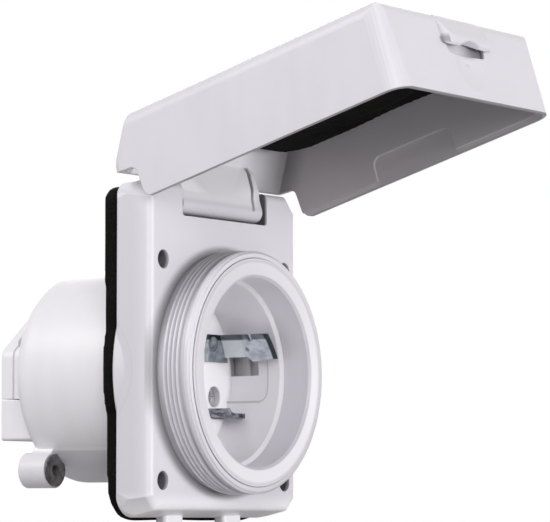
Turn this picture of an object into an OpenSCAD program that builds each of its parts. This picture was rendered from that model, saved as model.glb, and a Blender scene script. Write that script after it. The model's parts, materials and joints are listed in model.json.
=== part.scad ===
// Panel mount power inlet with a hinged weather lid, millimetres.
// The origin is on the socket axis, in the plane of the wall. The front faces -Y and +Z is up.

/* [Faceplate] */
// Width of the faceplate at its base
plate_w = 84; // [84:1:96]
// Height of the faceplate above the socket axis
plate_top = 58.2; // [57:0.2:64]
// Depth of the faceplate below the socket axis
plate_bottom = 45.2; // [45:0.2:52]
// Thickness of the faceplate
plate_t = 12; // [11:0.5:14]
// Inset of each drafted side at the front face
side_draft = 1.6; // [0.5:0.1:3]
// Inset of the drafted bottom edge at the front face
bottom_draft = 2.75; // [1:0.05:3.5]
// Radius of the upper corners of the faceplate
plate_corner_r = 7; // [3:0.5:8]
// Radius of the lower corners of the faceplate
plate_foot_r = 9; // [6:0.5:11]
// Rounding of the front edges of the faceplate
plate_edge_r = 2.5; // [1:0.1:3.5]
// Swelling of the faceplate sides over the socket, from the middle line
bulge_r = 43.4; // [43:0.1:44]
// Distance between mounting holes, both ways
hole_pitch = 67.5; // [66:0.5:70]
// Diameter of the mounting holes
hole_d = 5.8; // [4:0.1:7]
// Thickness of the panel gasket
gasket_t = 4.8; // [3:0.2:6]
// Clearance of the panel cut-out round the enclosure
cutout_gap = 1; // [0.6:0.1:2]

/* [Collar and socket] */
// Outer diameter of the threaded collar
collar_d = 76; // [74:0.5:80]
// Height of the collar in front of the faceplate
collar_h = 12.6; // [11:0.2:14]
// Depth of the collar thread
thread_depth = 1; // [0.6:0.1:1.4]
// Length of the plain band at the front of the collar
band_len = 3.2; // [3:0.1:6]
// Bore at the mouth of the collar
mouth_d = 59.2; // [58.2:0.2:60]
// Inner diameter of the socket cup
socket_d = 57; // [55:0.2:57.4]
// Wall of the socket cup
cup_wall = 2.1; // [1.8:0.1:2.6]
// Depth from the collar front to the rim of the cup
cup_set = 9.9; // [7:0.1:11]
// Depth from the collar front to the socket floor
socket_depth = 30.1; // [26:0.1:31]
// Thickness of the socket floor
floor_t = 6; // [4:0.5:8]
// Clearance between pieces that slot together
fit_gap = 0.2; // [0.1:0.05:0.3]

/* [Contacts] */
// Thickness of the contact metal
contact_t = 1.4; // [1:0.1:1.8]
// Reach of the ground tongue above the socket floor
tongue_len = 20.8; // [16:0.1:24]
// Reach of the line blades above the socket floor
blade_len = 8.3; // [6:0.1:12]
// Width of the ground contact
ground_w = 8.7; // [7:0.1:9.4]
// Diameter of the floor screw shanks
floor_screw_d = 3; // [2.4:0.1:3.4]

/* [Hinge and lid] */
// Setback of the hinge axis behind the faceplate front
hinge_setback = 4; // [3.6:0.1:5]
// Drop of the hinge axis below the faceplate top
hinge_drop = 6.2; // [5.6:0.1:7]
// Diameter of the hinge pin
pin_d = 2.4; // [2:0.1:3]
// Radius of the lid knuckle
knuckle_r = 3.3; // [3:0.1:3.6]
// Width of the lid knuckle
knuckle_w = 44; // [36:1:48]
// Outer depth of the lid
lid_depth = 28; // [27:0.5:32]
// Wall of the lid
lid_wall = 2.3; // [1.8:0.1:2.6]
// Clearance between the lid skirt and the faceplate sides
lid_gap = 1.1; // [0.8:0.1:1.6]
// Clearance between the lid skirt and the bottom of the faceplate
lid_foot_gap = 2.3; // [1.5:0.1:3]
// Overlap of the lid skirt behind the faceplate front
lid_skirt = 5.94; // [4:0.02:7]
// Angle of the open lid, from closed
lid_open = 107.2; // [90:0.1:107.2]
// Clearance between the closed lid pad and the collar
seal_gap = 0.5; // [0.4:0.1:1]
// Width of the finger hood on the lid
pull_w = 26; // [18:1:32]
// Rise of the finger hood
hood_rise = 3; // [2:0.1:4]
// Reach of the finger hood from the lid front
hood_len = 11.2; // [10:0.2:13]

/* [Rear enclosure] */
// Length of the rear enclosure behind the socket flange
enclosure_len = 43.8; // [42:0.2:56]
// Rounding of the closed end of the enclosure
enclosure_round = 6; // [3:0.5:8]
// Wall of the enclosure
enclosure_wall = 2; // [1.6:0.1:2.4]
// Radius of the screw lugs on the enclosure
lug_r = 5.6; // [5:0.1:6]
// Length of the screw lugs
lug_len = 10; // [8:0.5:14]
// Diameter of the screw holes in the lugs
lug_hole_d = 3.4; // [3:0.1:4.2]
// Diameter of the cable that the clamp takes
cable_d = 17; // [12:0.5:18]
// Width of the cable clamp
clamp_w = 43; // [41:1:46]
// Reach of the cable clamp behind the enclosure
clamp_reach = 12.6; // [11:0.2:16]
// Diameter of the clamp screws
clamp_screw_d = 3.8; // [3:0.1:4.2]

/* [Hidden] */
$fn = 96;
eps = 0.01;
far = 200;
moulded = "#e4e2e8";
foam = "#101010";
steel = "#aeb4bd";
brass = "#c2a14d";

// Planes along the socket axis
plate_back = -gasket_t;
plate_front = plate_back - plate_t;
collar_front = plate_front - collar_h;
cup_front = collar_front + cup_set;
floor_y = collar_front + socket_depth;
cup_back = floor_y + floor_t;
flange_t = 3;
flange_back = plate_back + flange_t;
retainer_t = 4;
retainer_back = cup_back + retainer_t;
enclosure_back = flange_back + enclosure_len;
lug_front = enclosure_back - lug_len;

// Radii about the socket axis
mouth_r = mouth_d / 2;
socket_r = socket_d / 2;
cup_r = socket_r + cup_wall;
housing_bore_r = cup_r + fit_gap;
flange_r = cup_r + 3.2;
enclosure_r = flange_r;
enclosure_bore_r = enclosure_r - enclosure_wall;
cup_tail_r = enclosure_bore_r - 2 * fit_gap;
retainer_r = cup_tail_r - 3;
lug_out = 4.5;
lug_angle = 232;
sleeve_r = 3;
sleeve_flange_r = lug_r - 0.5;
sleeve_flange_t = 0.5;
bulge_len = 8;

// Hinge and lid, with the lid drawn closed
hinge_y = plate_front + hinge_setback;
hinge_z = plate_top - hinge_drop;
knuckle_gap = 0.8;
pocket_w = knuckle_w + 3;
pocket_floor = hinge_z - knuckle_r - knuckle_gap;
pin_run = 0.05;
pin_len = pocket_w + 12;
rim_y = plate_front + lid_skirt;
lid_front = rim_y - lid_depth;
lid_half_w = plate_w / 2 + lid_gap + lid_wall;
lid_foot = plate_bottom - bottom_draft * (plate_t - lid_skirt) / plate_t + lid_foot_gap + lid_wall;
lid_end_draft = 0.9;
lid_end_z = lid_end_draft - lid_foot;
lid_edge_r = 4.5;
lid_corner_r = 6.5;
lid_hinge_corner_r = 3;
rim_lip = 1.6;
rim_thin = 0.9;
hinge_wall_foot = [lid_front, hinge_z - 6.3];
hinge_wall_end = [hinge_y - 9.1, hinge_z + 4];
side_notch = [hinge_y - 8.5, hinge_z - 4.4];
side_rim_top = hinge_z - 5.2;
hinge_wall_dir = (hinge_wall_end - hinge_wall_foot) / norm(hinge_wall_end - hinge_wall_foot);
hinge_wall_in = [hinge_wall_dir[1], -hinge_wall_dir[0]] * lid_wall;
pad_face = collar_front - seal_gap;
pad_inset = 6;

// Contacts, given for the first one and turned for the others
tongue_r = socket_r - 4.3;
tongue_z = 4.6;
foot_inner = 14;
rivet_d = 3;
rivet_at = [foot_inner + 3, tongue_z + ground_w - 3];
hook_r = 4;
hook_z = -socket_r * 0.44;
hook_x = socket_r * 0.67;
hook_end = socket_r * 0.87;
hook_turn = 58;
floor_screw_at = [socket_r * 0.684, -socket_r * 0.228];
floor_screw_head_r = 2.6;
recess_r = 3.4;
recess_depth = 3.2;
line_turns = [0, 120, 240];
clamp_block = [10.4, 11, 8.6];
clamp_block_x = hook_end - 1.6;
terminal_screw_d = 4.4;
wire_r = 2.9;

// Cable clamp behind the enclosure
cable_z = -7.4;
jaw_split = 0.4;
jaw_foot = -20.6;
jaw_root = 6;
clamp_band = 4.3;
clamp_band_rise = 0.6;
shoulder_z = 7.5;
shoulder_w = 15.5;
arch_top = 20;
clamp_seat_z = 2;
clamp_head_r = 3;
clamp_screw_x = clamp_w / 2 - 6;
clamp_screw_len = 16;
clamp_back = enclosure_back + clamp_reach;

// Arc of n steps that rounds the corner at b between a and c
function corner(a, b, c, r, n) =
    r == 0 ? [b] :
    let (
        u = (a - b) / norm(a - b),
        v = (c - b) / norm(c - b),
        half = acos(u * v) / 2,
        mid = b + (u + v) / norm(u + v) * r / sin(half),
        from = b + u * r / tan(half) - mid,
        to = b + v * r / tan(half) - mid,
        start = atan2(from[1], from[0]),
        turn = atan2(from[0] * to[1] - from[1] * to[0], from * to)
    )
    [for (i = [0 : n]) mid + r * [cos(start + turn * i / n), sin(start + turn * i / n)]];

// Outline with each corner rounded by its own radius
function rounded(pts, radii, n = 8) =
    let (last = len(pts) - 1)
    [for (i = [0 : last])
        each corner(pts[i == 0 ? last : i - 1], pts[i], pts[i == last ? 0 : i + 1], radii[i], n)];

// Rectangle outline from its low and high corners
function rect(low, high) = [low, [high[0], low[1]], high, [low[0], high[1]]];

module along_x(from, to) {
    translate([from, 0, 0]) rotate([90, 0, 90]) linear_extrude(to - from) children();
}

module along_y(from, to) {
    translate([0, to, 0]) rotate([90, 0, 0]) linear_extrude(to - from) children();
}

module along_z(from, to) {
    translate([0, 0, from]) linear_extrude(to - from) children();
}

// Solid turned about the socket axis from a list of [radius, y]
module turned(profile) {
    rotate([90, 0, 0]) rotate_extrude() polygon([for (p = profile) [p[0], -p[1]]]);
}

module rod_y(r, from, to, at = [0, 0]) {
    along_y(from, to) translate(at) circle(r);
}

module mount_holes(from, to) {
    for (sx = [-1, 1], sz = [-1, 1])
        rod_y(hole_d / 2, from, to, [sx, sz] * hole_pitch / 2);
}

module at_lugs() {
    for (turn = [0, 180])
        rotate([0, -lug_angle - turn, 0]) translate([enclosure_r + lug_out, 0, 0]) children();
}

// Faceplate with drafted sides, and a round swelling over the sealing land
module plate_body() {
    half = plate_w / 2;
    edge = plate_edge_r;
    back_edge = 0.8;
    clear = 0.12;
    foot = (half + plate_bottom) * sqrt(0.5) - (sqrt(2) - 1) * plate_foot_r + clear;
    shoulder = (half + plate_top) * sqrt(0.5) - (sqrt(2) - 1) * plate_corner_r + clear;
    intersection() {
        along_y(plate_front, plate_back)
            polygon(rounded(rect([-half, -plate_bottom], [half, plate_top]),
                [plate_foot_r, plate_foot_r, plate_corner_r, plate_corner_r]));
        corner_draft(45, foot);
        corner_draft(-45, foot);
        corner_draft(135, shoulder);
        corner_draft(-135, shoulder);
        along_x(-half, half)
            polygon(rounded([
                [plate_back, -plate_bottom], [plate_front, bottom_draft - plate_bottom],
                [plate_front, plate_top], [plate_back, plate_top]
            ], [back_edge, edge, edge, edge]));
        along_z(-plate_bottom, plate_top)
            polygon(rounded([
                [-half, plate_back], [side_draft - half, plate_front],
                [half - side_draft, plate_front], [half, plate_back]
            ], [back_edge, edge, edge, back_edge]));
    }
    rotate([90, 0, 0]) translate([0, 0, -plate_back])
        cylinder(r1 = bulge_r, r2 = plate_w / 2 - 2 * side_draft, h = bulge_len);
    catch_tabs();
}

// Half space that drafts and rounds a corner of the faceplate across its diagonal
module corner_draft(turn, reach) {
    draft = (side_draft + bottom_draft) / 2;
    rotate([0, turn, 0]) along_x(-far, far)
        polygon(rounded([
            [plate_back, -reach], [plate_front, draft - reach], [plate_front, far], [plate_back, far]
        ], [0, plate_edge_r, 0, 0]));
}

// Two tabs under the bottom edge that the skirt of the closed lid passes over
module catch_tabs() {
    half = 5;
    tab_x = 16;
    front = plate_back - 4.2;
    back = plate_back - 0.5;
    for (sx = [-1, 1])
        along_z(-plate_bottom - 1.3, 2 - plate_bottom)
            translate([sx * tab_x, 0])
                polygon(rounded(rect([-half, front], [half, back]), [1.5, 1.5, 0, 0]));
}

module collar_body() {
    r = collar_d / 2;
    root = r - thread_depth;
    face_r = r - 2.6;
    band = collar_front + band_len;
    turned([
        [0, collar_front], [face_r, collar_front], [face_r + 0.3, collar_front + 0.5],
        [r - 0.9, collar_front + 0.5], [r - 0.2, collar_front + 1.2], [r - 0.2, band - 0.5],
        [root, band], [root, plate_front + 1.2], [r, plate_front + 0.6], [r, plate_back], [0, plate_back]
    ]);
}

module front_housing() {
    color(moulded) difference() {
        union() {
            plate_body();
            collar_body();
        }
        turned([
            [0, collar_front - 1], [mouth_r + 1.8, collar_front - 1], [mouth_r, collar_front + 0.8],
            [mouth_r, cup_front], [housing_bore_r, cup_front], [housing_bore_r, far], [0, far]
        ]);
        mount_holes(plate_front - 1, plate_back + 1);
        hinge_pocket();
        // Pocket behind the window of the socket cup
        window_prism(housing_bore_r + 2.5);
    }
}

// Slot across the top edge that takes the lid knuckle, and the bore for its pin
module hinge_pocket() {
    along_y(plate_front - 1, far)
        polygon(rounded(rect([-pocket_w / 2, pocket_floor], [pocket_w / 2, plate_top + 10]),
            [1.2, 1.2, 0, 0]));
    along_x(-pin_len / 2, far) translate([hinge_y, hinge_z]) circle(pin_d / 2);
}

module hinge_pin() {
    color(steel) along_x(-pin_len / 2, pin_len / 2) translate([hinge_y, hinge_z]) circle(pin_d / 2);
}

module panel_gasket() {
    half = plate_w / 2;
    foot_inset = 2.4;
    color(foam) difference() {
        along_y(plate_back, 0) {
            polygon(rounded([
                [foot_inset - half, -plate_bottom - 0.4], [half - foot_inset, -plate_bottom - 0.4],
                [half, plate_top - 2], [-half, plate_top - 2]
            ], [11, 11, 5, 5]));
            circle(bulge_r - 0.7);
        }
        rod_y(enclosure_r + cutout_gap, -far, far);
        mount_holes(-far, far);
    }
}

// Wedge of the right side wall, out to radius r, where the cup has its window
module window_prism(r) {
    intersection() {
        rod_y(r, -far, far);
        along_x(socket_r / 2, far) polygon(rect([cup_front + 9.7, 0.5], [floor_y, 6.5]));
    }
}

module contact_carrier() {
    color(moulded) difference() {
        turned([
            [0, cup_front], [cup_r, cup_front], [cup_r, plate_back], [flange_r, plate_back],
            [flange_r, flange_back], [cup_tail_r, flange_back], [cup_tail_r, cup_back], [0, cup_back]
        ]);
        turned([
            [0, cup_front - 1], [mouth_r, cup_front - 1], [mouth_r, cup_front],
            [socket_r, cup_front + 1.1], [socket_r, floor_y], [0, floor_y]
        ]);
        // Shallow recess in the right side wall
        intersection() {
            rod_y(socket_r + 0.9, cup_front, floor_y);
            along_x(socket_r / 2, far)
                polygon(rounded(rect([cup_front + 5.7, -8], [floor_y + 5, 8]), [3, 0, 0, 3]));
        }
        window_prism(cup_r + 1.4);
        at_line_blades() blade_bar(floor_y - eps, far, fit_gap);
        at_line_blades() floor_screw_hole();
        rod_y(rivet_d / 2, -far, far, rivet_at);
    }
}

module at_line_blades() {
    for (turn = line_turns) rotate([0, -turn, 0]) children();
}

// Flat part of the blade section, swept along the socket axis
module blade_flat(from, to, gap = 0) {
    t = contact_t / 2 + gap;
    along_y(from, to)
        translate([hook_x - gap, hook_z - t]) square([hook_end - hook_x + 2 * gap, 2 * t]);
}

// Hooked blade section, swept along the socket axis
module blade_bar(from, to, gap = 0) {
    t = contact_t / 2 + gap;
    blade_flat(from, to, gap);
    along_y(from, to) translate([hook_x, hook_z + hook_r])
        intersection() {
            difference() {
                circle(hook_r + t);
                circle(hook_r - t);
            }
            polygon([[0, 0], [0, -3 * hook_r], 3 * hook_r * [-sin(hook_turn), -cos(hook_turn)]]);
        }
}

// The hook ends on the retainer, and only the flat part goes on to the terminal
module line_blade(k) {
    color(steel) rotate([0, -line_turns[k - 1], 0]) {
        blade_bar(floor_y - blade_len, cup_back);
        blade_flat(cup_back, retainer_back + clamp_block[1]);
    }
}

module floor_screw_hole() {
    rod_y(recess_r, -far, floor_y + recess_depth, floor_screw_at);
    rod_y(floor_screw_d / 2, -far, far, floor_screw_at);
}

// Bent strap: a foot on the floor and a long curved tongue with a notch and a slanted tip
module ground_contact() {
    top = tongue_z + ground_w;
    tip = floor_y - tongue_len;
    color(steel) difference() {
        union() {
            intersection() {
                difference() {
                    rod_y(tongue_r + contact_t, -far, far);
                    rod_y(tongue_r, -far, far);
                }
                along_x(0, far) polygon([
                    [floor_y, tongue_z + 1.6], [floor_y - 10.4, tongue_z + 1.6], [floor_y - 12, tongue_z],
                    [tip, tongue_z + 0.8], [tip + 1.7, top], [floor_y - 13.4, top], [floor_y - 13, top - 2.2],
                    [floor_y - 11.8, top - 2.2], [floor_y - 11.4, top], [floor_y, top]
                ]);
            }
            intersection() {
                rod_y(tongue_r + contact_t, floor_y - contact_t, floor_y);
                along_y(-far, far) polygon(rect([foot_inner, tongue_z], [far, top]));
            }
        }
        rod_y(rivet_d / 2, -far, far, rivet_at);
    }
}

module ground_rivet() {
    color(steel) {
        rod_y(rivet_d / 2, floor_y - contact_t, retainer_back + 5, rivet_at);
        translate([rivet_at[0], floor_y - contact_t, rivet_at[1]]) intersection() {
            translate([0, 1.6, 0]) sphere(r = 2.9);
            rod_y(5, -5, 0);
        }
    }
}

module cross_head_screw(head_r, head_h, shank_r, len) {
    difference() {
        union() {
            rod_y(head_r, -head_h, 0);
            rod_y(shank_r, -eps, len);
        }
        for (turn = [0, 90]) rotate([0, turn, 0])
            translate([-head_r * 0.65, -head_h - 1, -head_r * 0.13])
                cube([head_r * 1.3, 1 + head_h * 0.6, head_r * 0.26]);
    }
}

module carrier_screws() {
    color(steel) at_line_blades()
        translate([floor_screw_at[0], floor_y + recess_depth, floor_screw_at[1]])
            cross_head_screw(floor_screw_head_r, 1.6, floor_screw_d / 2,
                retainer_back - floor_y - recess_depth - 0.5);
}

module contact_retainer() {
    color("#d6d2c8") difference() {
        rod_y(retainer_r, cup_back, retainer_back);
        at_line_blades() blade_flat(cup_back - 1, far, fit_gap);
        at_line_blades() rod_y(floor_screw_d / 2, -far, retainer_back - 0.4, floor_screw_at);
        rod_y(rivet_d / 2, -far, far, rivet_at);
    }
}

// Brass block with a wire bore from behind and a threaded cross bore
module wire_block() {
    difference() {
        translate([-clamp_block[0], 0, 0]) cube(clamp_block);
        rod_y(wire_r, 3, far, [-clamp_block[0] / 2, clamp_block[2] / 2]);
        along_x(-clamp_block[0] / 2, far)
            translate([clamp_block[1] * 0.6, clamp_block[2] / 2]) circle(terminal_screw_d / 2);
    }
}

module wire_screw() {
    from = wire_r - clamp_block[0] / 2 + 0.4;
    difference() {
        along_x(from, 1) translate([clamp_block[1] * 0.6, clamp_block[2] / 2]) circle(terminal_screw_d / 2);
        translate([0, clamp_block[1] * 0.6 - 0.5, 0]) cube([2, 1, clamp_block[2]]);
    }
}

module at_wire_block(k) {
    rotate([0, -line_turns[k - 1], 0])
        translate([clamp_block_x, retainer_back, hook_z + contact_t / 2]) children();
}

module at_ground_block() {
    translate([rivet_at[0] + clamp_block[0] / 2, retainer_back, rivet_at[1] - 5.6]) children();
}

module terminal_clamp(k) {
    color(brass) at_wire_block(k) wire_block();
}

module terminal_screw(k) {
    color(steel) at_wire_block(k) wire_screw();
}

module ground_terminal() {
    color(brass) difference() {
        at_ground_block() wire_block();
        rod_y(rivet_d / 2, -far, retainer_back + 5.2, rivet_at);
    }
}

module ground_screw() {
    color("#4f8a58") at_ground_block() wire_screw();
}

// Outline of the upper jaw: straight sides, sloped shoulders and a rounded top
module clamp_arch(half) {
    polygon(rounded([
        [-half, cable_z], [half, cable_z], [half, shoulder_z], [half - shoulder_w, arch_top],
        [shoulder_w - half, arch_top], [-half, shoulder_z]
    ], [0, 0, 4, 7, 7, 4]));
}

// Round cup with two screw lugs, the cable hole and the lower jaw of the cable clamp
module rear_enclosure() {
    inner_end = enclosure_back - 2.5;
    inner_round = enclosure_round - 2.5;
    neck = lug_r - 1;
    color(moulded) difference() {
        union() {
            turned(concat(
                [[0, flange_back], [enclosure_r, flange_back]],
                corner([enclosure_r, flange_back], [enclosure_r, enclosure_back],
                    [0, enclosure_back], enclosure_round, 8),
                [[0, enclosure_back]]));
            at_lugs() rod_y(lug_r, lug_front, enclosure_back);
            at_lugs() along_y(lug_front, inner_end)
                polygon(rect([-lug_out - enclosure_round, -neck], [0, neck]));
            along_y(enclosure_back - jaw_root, clamp_back)
                polygon(rounded(rect([-clamp_w / 2, jaw_foot], [clamp_w / 2, cable_z - jaw_split]),
                    [1, 1, 0, 0]));
        }
        turned(concat(
            [[0, flange_back - 1], [enclosure_bore_r, flange_back - 1]],
            corner([enclosure_bore_r, flange_back], [enclosure_bore_r, inner_end],
                [0, inner_end], inner_round, 8),
            [[0, inner_end]]));
        rod_y(cable_d / 2, 0, far, [0, cable_z]);
        at_lugs() rod_y(sleeve_r + fit_gap / 4, -far, far);
        at_clamp_screws(0) cylinder(d = clamp_screw_d, h = 2 * clamp_screw_len, center = true);
    }
}

// Flanged steel sleeves that line the screw holes of the lugs
module lug_sleeves() {
    color(steel) difference() {
        at_lugs() difference() {
            union() {
                rod_y(sleeve_r, lug_front, enclosure_back);
                rod_y(sleeve_flange_r, lug_front - sleeve_flange_t, lug_front);
            }
            rod_y(lug_hole_d / 2, -far, far);
        }
        rod_y(enclosure_r + fit_gap, -far, lug_front);
    }
}

module at_clamp_screws(z) {
    for (sx = [-1, 1])
        translate([sx * clamp_screw_x, enclosure_back + clamp_reach / 2, z]) children();
}

// Upper jaw of the cable clamp, an arched saddle with a raised band at its end
module cable_clamp() {
    half = clamp_w / 2;
    color(moulded) difference() {
        union() {
            along_y(enclosure_back, clamp_back) clamp_arch(half - clamp_band_rise);
            along_y(clamp_back - clamp_band, clamp_back) clamp_arch(half);
        }
        rod_y(cable_d / 2, -far, far, [0, cable_z]);
        at_clamp_screws(clamp_seat_z) {
            cylinder(r = clamp_head_r + 2 * fit_gap, h = far);
            cylinder(d = clamp_screw_d + 2 * fit_gap, h = far, center = true);
        }
    }
}

module clamp_screws() {
    color(steel) at_clamp_screws(clamp_seat_z) rotate([-90, 0, 0])
        cross_head_screw(clamp_head_r, 2, clamp_screw_d / 2, clamp_screw_len);
}

// Side outline of the lid, closed
function lid_side() = rounded([
    [rim_y, -lid_foot], [lid_front, lid_end_z], hinge_wall_foot,
    hinge_wall_end, side_notch, [rim_y, side_rim_top]
], [0, lid_edge_r, 5, 0.8, 2.5, 3]);

function lid_hollow() = rounded([
    [far, lid_wall - lid_foot], [lid_front + lid_wall, lid_end_z + lid_wall],
    [lid_front + lid_wall, hinge_wall_foot[1] - 1.1], hinge_wall_end + hinge_wall_in + 5 * hinge_wall_dir,
    [far, hinge_wall_end[1] + 5]
], [0, 1.5, 2.5, 0, 0]);

module lid_shell() {
    half = lid_half_w;
    inner = half - lid_wall;
    top = hinge_wall_end[1];
    corner_in = lid_corner_r - lid_wall;
    rim_in = inner + rim_thin;
    rim_foot = lid_wall - rim_thin - lid_foot;
    rim_r = corner_in + rim_thin;
    difference() {
        intersection() {
            along_x(-half, half) polygon(lid_side());
            along_y(lid_front, plate_back)
                polygon(rounded(rect([-half, -lid_foot], [half, top]),
                    [lid_corner_r, lid_corner_r, lid_hinge_corner_r, lid_hinge_corner_r]));
            along_z(-lid_foot, top)
                polygon(rounded(rect([-half, lid_front], [half, plate_back]),
                    [lid_edge_r, lid_edge_r, 0, 0]));
        }
        intersection() {
            along_x(-inner, inner) polygon(lid_hollow());
            along_y(lid_front, far)
                polygon(rounded(rect([-inner, lid_wall - lid_foot], [inner, top + 10]),
                    [corner_in, corner_in, 0, 0]));
        }
        along_y(rim_y - rim_lip, far)
            polygon(rounded(rect([-rim_in, rim_foot], [rim_in, top + 10]), [rim_r, rim_r, 0, 0]));
        side_reliefs();
        pull_recess();
    }
}

// Shallow reliefs inside the side walls, over the swelling of the faceplate
module side_reliefs() {
    depth = 1;
    low = [rim_y - 9.5, -13];
    high = [rim_y + 1, 17];
    for (side = [0, 1]) mirror([side, 0, 0])
        along_x(lid_half_w - lid_wall - 1, lid_half_w - lid_wall + depth)
            polygon(rounded(rect(low, high), [3, 0, 0, 3]));
}

// Web and gusset ribs between the hinge wall and the knuckle
module lid_hinge_arm() {
    axis = [hinge_y, hinge_z];
    brow = axis + [-3.4, -3.25];
    root_in = hinge_wall_end + hinge_wall_in;
    lean = asin(knuckle_r / norm(brow - axis));
    arm_turn = atan2(brow[1] - axis[1], brow[0] - axis[0]);
    touch = axis + knuckle_r * [cos(arm_turn + 90 - lean), sin(arm_turn + 90 - lean)];
    rib_t = 1.6;
    gusset_w = 10;
    rib_foot = root_in - 8.2 * hinge_wall_dir;
    run = axis[0] - rib_foot[0];
    hold = 3 * hinge_wall_dir;
    half = knuckle_w / 2;
    along_x(-half, half) {
        translate(axis) circle(knuckle_r);
        polygon([touch, brow, root_in, root_in - hold, hinge_wall_end - hold, hinge_wall_end, axis]);
    }
    for (side = [0, 1]) mirror([side, 0, 0]) {
        along_x(half - rib_t, half) polygon([touch, rib_foot, root_in, axis]);
        intersection() {
            along_x(0, half) polygon([touch, rib_foot, root_in, axis]);
            translate([half, rib_foot[0], rib_foot[1]]) rotate([0, -45, 0]) along_z(-far, far)
                polygon([[0, 0], [far, 0], [far, run], [-gusset_w, run]]);
        }
    }
}

// Hood on the end wall with an undercut for the finger that lifts the lid
module pull_hood() {
    half = pull_w / 2;
    crown = lid_end_z - hood_rise;
    brink = lid_front + hood_len;
    arch_r = 10;
    arch_rise = 1.4;
    difference() {
        intersection() {
            along_x(-half, half) polygon(rounded([
                [lid_front + 1.2, lid_end_z + 1], [lid_front + 3.5, lid_end_z - 0.9],
                [brink - 2.7, crown], [brink, crown],
                [brink + 0.3, crown + 1.4], [brink - 2, lid_end_z + 0.8]
            ], [0, 3, 3, 1.2, 0.5, 0]));
            along_y(lid_front, rim_y)
                polygon(rounded(rect([-half, crown], [half, lid_end_z + 4]), [2.5, 2.5, 0, 0]));
        }
        along_z(-far, 0) translate([0, brink + arch_r - arch_rise]) circle(arch_r);
    }
}

// Finger recess under the hood, and a shallow round dish below it
module pull_recess() {
    half = pull_w / 2 - 2;
    brink = lid_front + hood_len;
    dish_r = 40;
    dish_depth = 0.8;
    along_z(-far, lid_end_z + 0.9)
        polygon(rounded(rect([-half, brink - 2.4], [half, brink + 2.4]), [2, 2, 2, 2]));
    translate([0, lid_front + 16, lid_end_z - 0.5 + dish_depth - dish_r]) sphere(r = dish_r);
}

module open_lid() {
    translate([0, hinge_y, hinge_z]) rotate([-lid_open, 0, 0])
        translate([0, -hinge_y, -hinge_z]) children();
}

module lid() {
    color(moulded) open_lid() difference() {
        union() {
            lid_shell();
            lid_hinge_arm();
            pull_hood();
        }
        along_x(-far, far) translate([hinge_y, hinge_z]) circle(pin_d / 2 + pin_run);
    }
}

module lid_pad() {
    half = lid_half_w - lid_wall - pad_inset;
    low = lid_end_z + lid_wall + 2;
    high = hinge_wall_foot[1] - 4.5;
    color(foam) open_lid() along_y(lid_front + lid_wall, pad_face)
        polygon(rounded(rect([-half, low], [half, high]), [9, 9, 9, 9]));
}

front_housing();
panel_gasket();
contact_carrier();
ground_contact();
ground_rivet();
line_blade(1);  // line_blade_1
line_blade(2);  // line_blade_2
line_blade(3);  // line_blade_3
carrier_screws();
contact_retainer();
terminal_clamp(1);  // terminal_clamp_1
terminal_clamp(2);  // terminal_clamp_2
terminal_clamp(3);  // terminal_clamp_3
ground_terminal();
terminal_screw(1);  // terminal_screw_1
terminal_screw(2);  // terminal_screw_2
terminal_screw(3);  // terminal_screw_3
ground_screw();
rear_enclosure();
lug_sleeves();
cable_clamp();
clamp_screws();
hinge_pin();
lid();
lid_pad();
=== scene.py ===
import json
import math

import bmesh
import bpy
import numpy as np
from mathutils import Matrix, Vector


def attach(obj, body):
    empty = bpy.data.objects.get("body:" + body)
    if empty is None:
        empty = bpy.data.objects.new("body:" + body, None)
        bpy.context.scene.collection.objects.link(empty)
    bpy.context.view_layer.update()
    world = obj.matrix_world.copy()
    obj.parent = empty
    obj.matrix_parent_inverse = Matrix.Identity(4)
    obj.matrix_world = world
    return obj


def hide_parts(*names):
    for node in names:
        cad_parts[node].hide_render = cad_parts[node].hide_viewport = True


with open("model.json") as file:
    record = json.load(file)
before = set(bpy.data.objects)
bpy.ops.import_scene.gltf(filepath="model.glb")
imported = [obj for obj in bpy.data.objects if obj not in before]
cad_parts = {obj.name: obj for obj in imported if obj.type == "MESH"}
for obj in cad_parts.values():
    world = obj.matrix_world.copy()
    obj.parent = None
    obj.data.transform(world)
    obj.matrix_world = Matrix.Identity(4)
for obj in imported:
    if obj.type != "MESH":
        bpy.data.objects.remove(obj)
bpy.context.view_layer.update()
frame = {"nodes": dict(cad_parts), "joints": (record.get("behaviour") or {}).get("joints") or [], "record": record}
nodes = frame["nodes"]
print("frame loaded:", len(nodes), "nodes")

scene = bpy.context.scene
scene.view_settings.view_transform = "Standard"
mm = 0.001

# axis of the lid's hinge and the angle that closes the lid, from the frame; then the inner face of the
# lid's hinge wall with the lid open, as a line of y over z
lidJoint = frame["joints"][0]
hinge = {
    "y": lidJoint["pos_m"][1],
    "z": lidJoint["pos_m"][2],
    "closing": math.radians(lidJoint["range_deg"][1]),
}
hingeWall = {"y": -8.60 * mm, "z": 58.95 * mm, "slope": -0.2507}


# viewing angle fitted to the corners of the faceplate, the collar and the lid
shot = {
    "place": (-0.9073, -0.6313, -0.0459),
    "forward": (0.83356, 0.54748, 0.07381),
    "imageWidth": 550,
    "focalPixels": 3506.5,
    "sensor": 36.0,
    "farClip": 20.0,
}


def makeCamera():
    data = bpy.data.cameras.new("shotCamera")
    data.sensor_fit = "HORIZONTAL"
    data.sensor_width = shot["sensor"]
    data.lens = shot["focalPixels"] / shot["imageWidth"] * shot["sensor"]
    data.clip_end = shot["farClip"]
    camera = bpy.data.objects.new("shotCamera", data)
    scene.collection.objects.link(camera)
    camera.rotation_euler = Vector(shot["forward"]).to_track_quat("-Z", "Y").to_euler()
    camera.location = shot["place"]
    scene.camera = camera


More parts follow.
